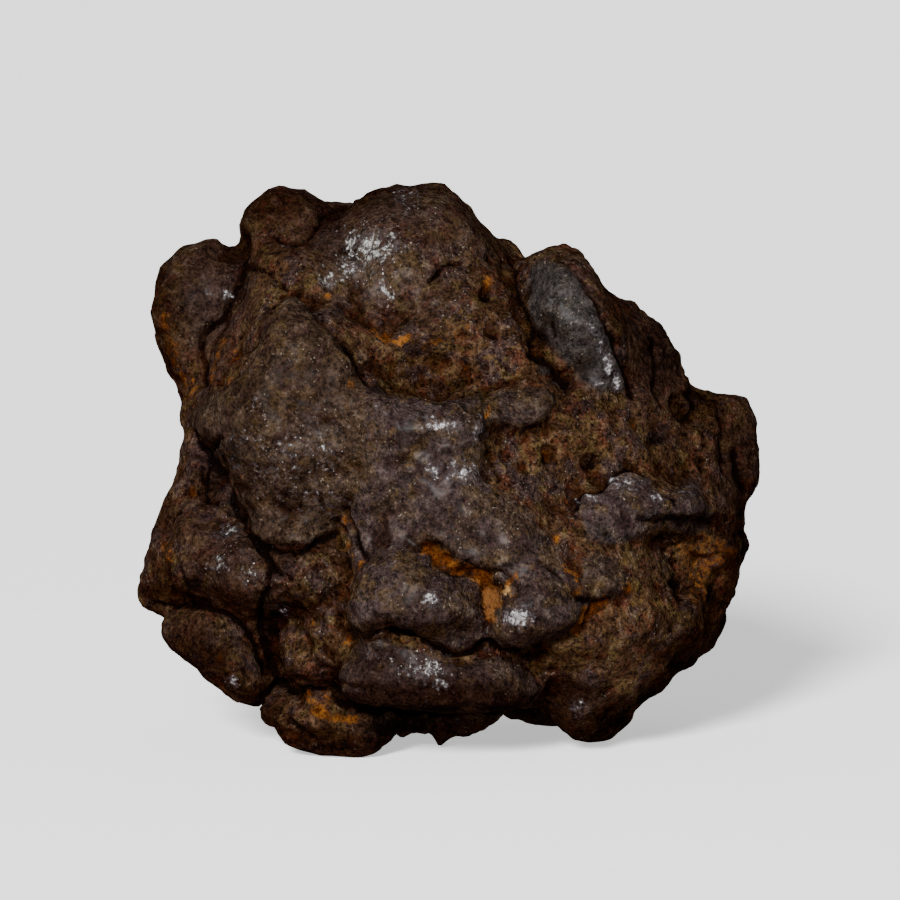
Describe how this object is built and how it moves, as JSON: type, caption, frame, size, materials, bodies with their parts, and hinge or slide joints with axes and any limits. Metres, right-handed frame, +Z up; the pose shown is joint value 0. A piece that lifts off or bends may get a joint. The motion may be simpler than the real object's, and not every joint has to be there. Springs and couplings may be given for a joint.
{
  "type": "meteorite",
  "caption": "Knobbly iron meteorite with a smooth, lobed fusion crust over a pitted, rusty body, standing on worn low points.",
  "frame": {"origin": "on the floor, under the middle of the stone's bounding box", "axes": "+X along the stone's width, the longest extent, +Y away from the pictured face, +Z up from the floor it stands on"},
  "size_m": [0.0948, 0.0756, 0.0843],
  "materials": {
    "fusion_crust": "dark brown melted crust, satin on the lobes and rough and rusty in the hollows"
  },
  "bodies": {
    "root": {"meteorite": "fusion_crust"}
  },
  "joints": []
}
